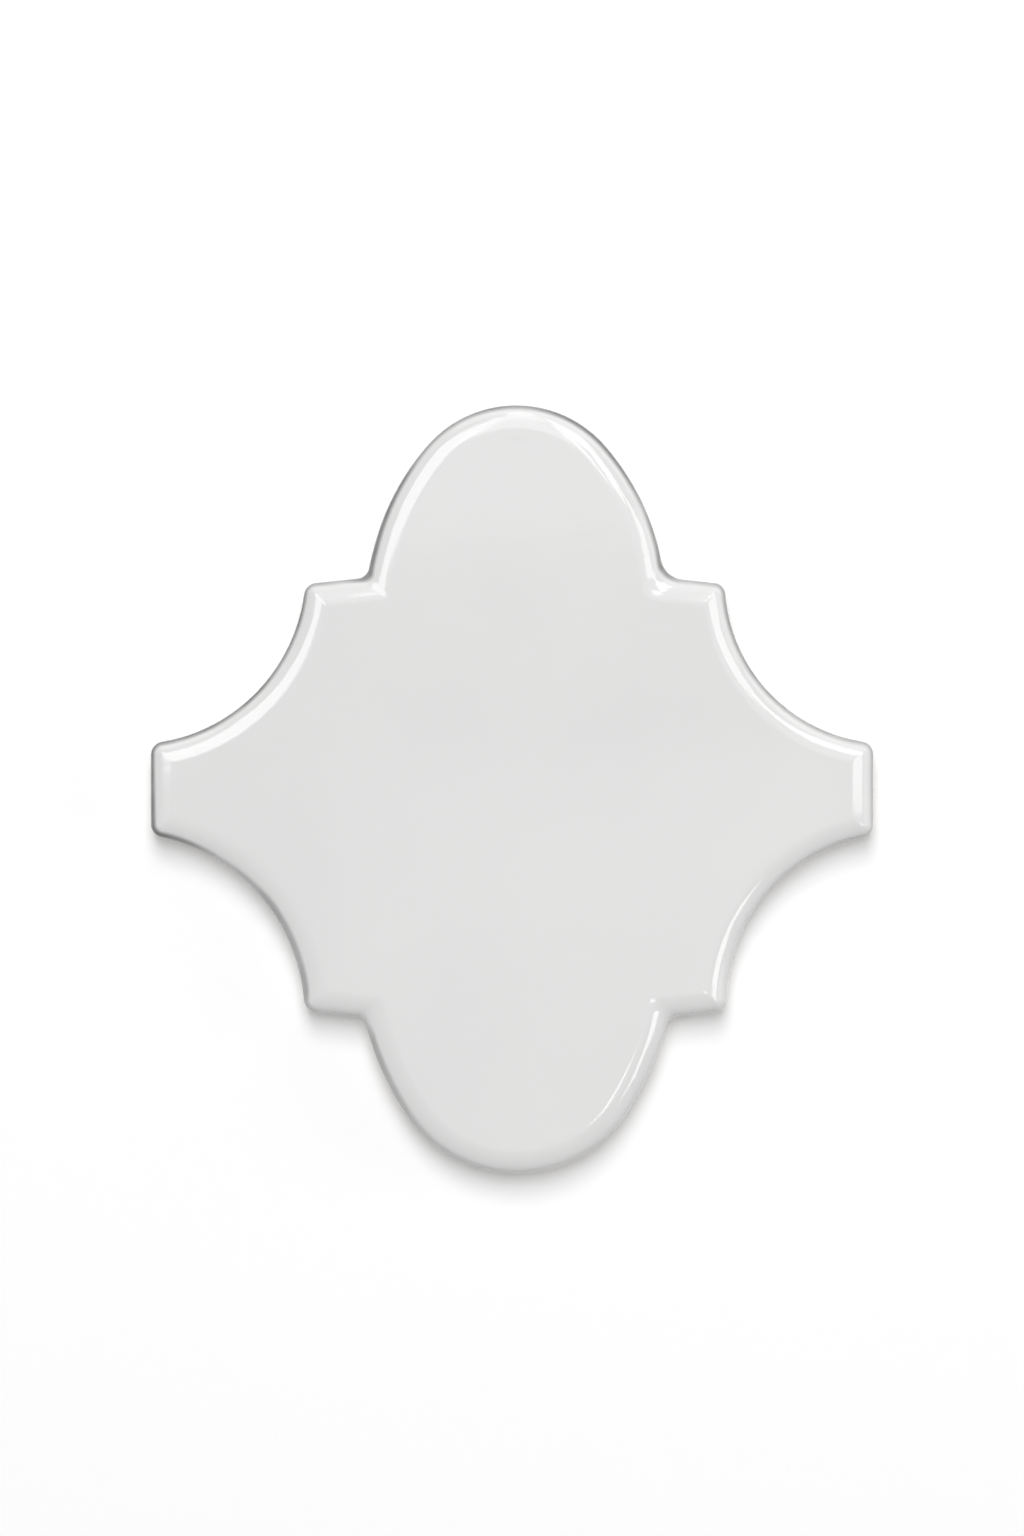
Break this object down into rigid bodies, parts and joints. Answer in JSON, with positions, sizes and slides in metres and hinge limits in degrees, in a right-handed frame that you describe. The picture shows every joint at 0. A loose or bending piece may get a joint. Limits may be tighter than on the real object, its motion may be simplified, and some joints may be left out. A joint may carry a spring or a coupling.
{
  "type": "arabesque wall tile",
  "caption": "Glossy white glazed arabesque wall tile with rounded lobes above and below, hollow flanks, flat ends and a pillowed edge.",
  "frame": {"origin": "centre of the back face, on the surface that the tile lies on", "axes": "+Z out of the glazed face, +Y towards the taller lobe, +X towards the right-hand flat end"},
  "size_m": [0.12, 0.1276, 0.008],
  "materials": {
    "glaze": "gloss"
  },
  "bodies": {
    "root": {"tile": "glaze"}
  },
  "joints": []
}
